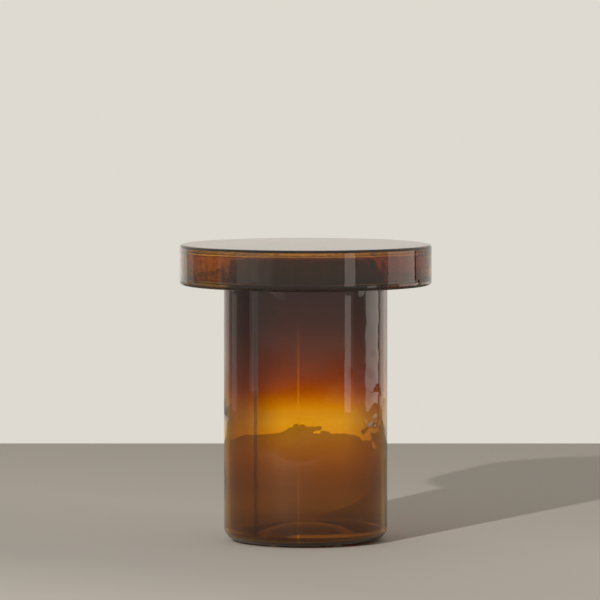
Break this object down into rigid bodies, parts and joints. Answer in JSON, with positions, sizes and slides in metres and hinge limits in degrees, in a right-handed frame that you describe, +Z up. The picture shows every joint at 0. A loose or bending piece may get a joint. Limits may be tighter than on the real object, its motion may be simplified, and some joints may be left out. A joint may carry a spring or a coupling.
{
  "type": "glass side table",
  "caption": "Round amber glass side table: a blown cylinder with a rounded shoulder carries a hollow disc top that lifts off and turns on a loose silicone ring.",
  "frame": {"origin": "on the floor, at the centre of the base", "axes": "+Z up along the axis of the base and the top; X and Y are alike, because the glass is turned about Z"},
  "size_m": [0.4, 0.4, 0.472],
  "materials": {
    "base_glass": "blown glass, amber shading to near black at the top",
    "top_glass": "blown amber glass, glossy",
    "seat_silicone": "translucent silicone, satin",
    "pad_silicone": "clear soft silicone, satin"
  },
  "bodies": {
    "base": {"base_cylinder": "base_glass", "foot_pads": "pad_silicone"},
    "seat": {"seat_ring": "seat_silicone"},
    "top": {"top_cap": "top_glass"}
  },
  "joints": [
    {"name": "seat_turn", "type": "hinge", "parent": "base", "child": "seat", "pos_m": [0, 0, 0.46], "axis": [0, 0, 1], "continuous": true},
    {"name": "top_lift", "type": "slide", "parent": "seat", "child": "top", "axis": [0, 0, 1], "range_m": [0, 0.12]}
  ]
}
